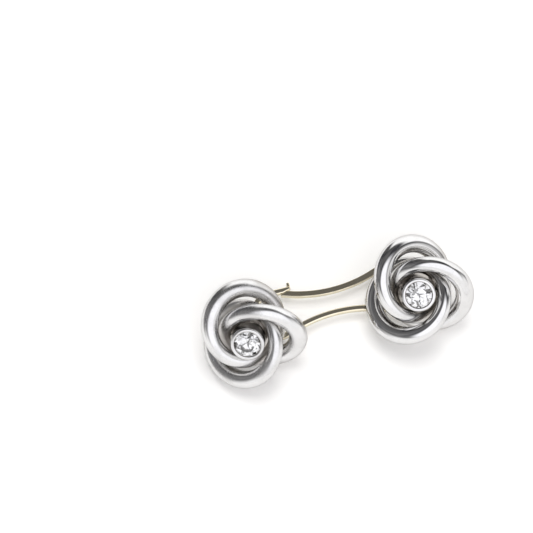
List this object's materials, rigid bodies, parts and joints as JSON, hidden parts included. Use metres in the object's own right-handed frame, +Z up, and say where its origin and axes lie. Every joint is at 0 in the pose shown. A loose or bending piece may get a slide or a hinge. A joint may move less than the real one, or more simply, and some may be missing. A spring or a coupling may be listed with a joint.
{
  "type": "cufflink",
  "caption": "Love-knot cufflink: woven knots of polished wire rings round a set clear stone, hung by wire eyes on a waisted wire link with a sprung gate that closes on a nose",
  "frame": {"origin": "The middle of the link's waist, on the wire's mid-plane, where the cuff sits", "axes": "X runs along the link from the left head to the right head, Y lies in the flat of the link's loop towards the gate, Z is up out of the loop on the side the knots face"},
  "size_m": [0.0321, 0.0123, 0.0102],
  "materials": {
    "white_metal": "polished white precious metal with fine wear",
    "yellow_metal": "polished pale yellow metal",
    "clear_stone": "clear, faceted and polished"
  },
  "bodies": {
    "link": {"link_frame": "yellow_metal", "spring_strip": "yellow_metal", "thumb_tab": "yellow_metal"},
    "gate": {"gate_arm": "yellow_metal"},
    "left_head": {"left_knot_ring_1": "white_metal", "left_knot_ring_2": "white_metal", "left_knot_ring_3": "white_metal", "left_collet": "white_metal", "left_stone_seat": "white_metal", "left_stone": "clear_stone", "left_back_cap": "white_metal", "left_shank_eye": "white_metal"},
    "right_head": {"right_knot_ring_1": "white_metal", "right_knot_ring_2": "white_metal", "right_knot_ring_3": "white_metal", "right_collet": "white_metal", "right_stone_seat": "white_metal", "right_stone": "clear_stone", "right_back_cap": "white_metal", "right_shank_eye": "white_metal"}
  },
  "joints": [
    {"name": "left_head_swing", "type": "hinge", "parent": "link", "child": "left_head", "pos_m": [-0.00978, 0.00012, 0.0001], "axis": [0.0333, 0.7631, 0.6455], "range_deg": [-140, 10]},
    {"name": "right_head_swing", "type": "hinge", "parent": "link", "child": "right_head", "pos_m": [0.00969, -0.00038, -0.00015], "axis": [0.2721, 0.8374, 0.4741], "range_deg": [-3, 160]},
    {"name": "gate_open", "type": "hinge", "parent": "link", "child": "gate", "pos_m": [0.00632, 0.00268, 0], "axis": [0, 0, 1], "range_deg": [0, 7], "stiffness_Nm_per_rad": 0.2}
  ]
}
